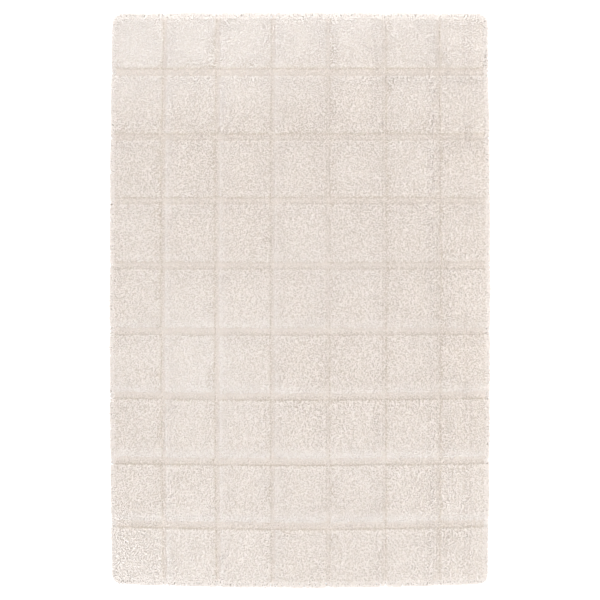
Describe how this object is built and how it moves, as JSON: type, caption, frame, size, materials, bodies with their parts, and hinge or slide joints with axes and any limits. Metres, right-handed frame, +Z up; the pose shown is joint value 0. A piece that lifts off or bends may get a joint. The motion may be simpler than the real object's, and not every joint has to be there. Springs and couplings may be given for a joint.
{
  "type": "shag rug",
  "caption": "Rectangular shag floor rug in cream, its deep pile standing in a grid of raised square blocks with lower channels between them.",
  "frame": {"origin": "middle of the flat underside, on the floor", "axes": "+X across the rug, +Y along its length, +Z up out of the pile"},
  "size_m": [1.6196, 2.4366, 0.034],
  "materials": {
    "cream_pile": "long matt pile"
  },
  "bodies": {
    "root": {"shag_rug": "cream_pile"}
  },
  "joints": []
}
